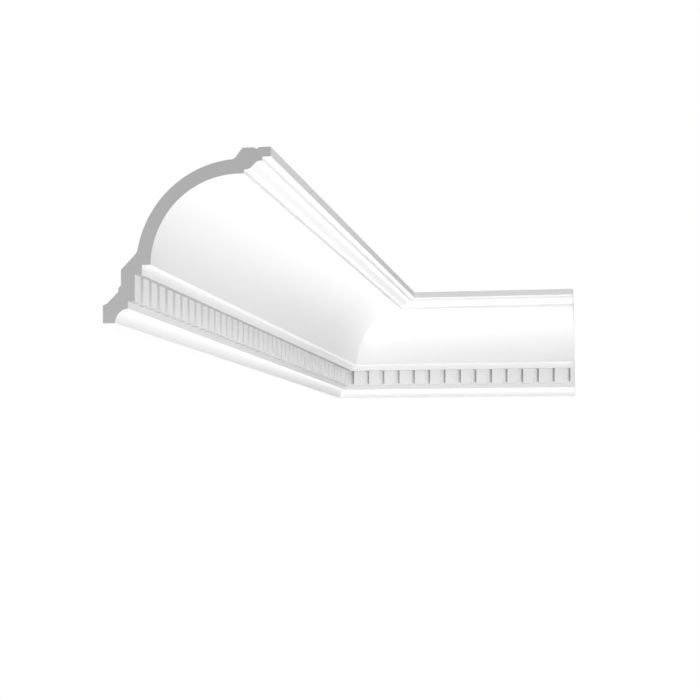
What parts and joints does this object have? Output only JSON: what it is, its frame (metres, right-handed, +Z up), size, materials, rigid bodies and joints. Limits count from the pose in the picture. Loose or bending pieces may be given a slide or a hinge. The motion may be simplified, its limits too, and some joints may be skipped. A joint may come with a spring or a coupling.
{
  "type": "cornice moulding inside corner",
  "caption": "Large cove cornice moulding with a row of dentils, two mitred lengths turned through the inside corner of a wall and ceiling.",
  "frame": {"origin": "middle of the long length's wall land, the flat along its foot that is glued to the wall", "axes": "+Z up to the ceiling, +X out from the long length's wall into the room, +Y along that wall towards the corner of the room"},
  "size_m": [0.4655, 1.3332, 0.18],
  "materials": {
    "primed_white": "matte white factory primer over moulded foam, with the bare grey foam core showing on the sawn ends"
  },
  "bodies": {
    "root": {"long_length": "primed_white", "short_length": "primed_white"}
  },
  "joints": []
}
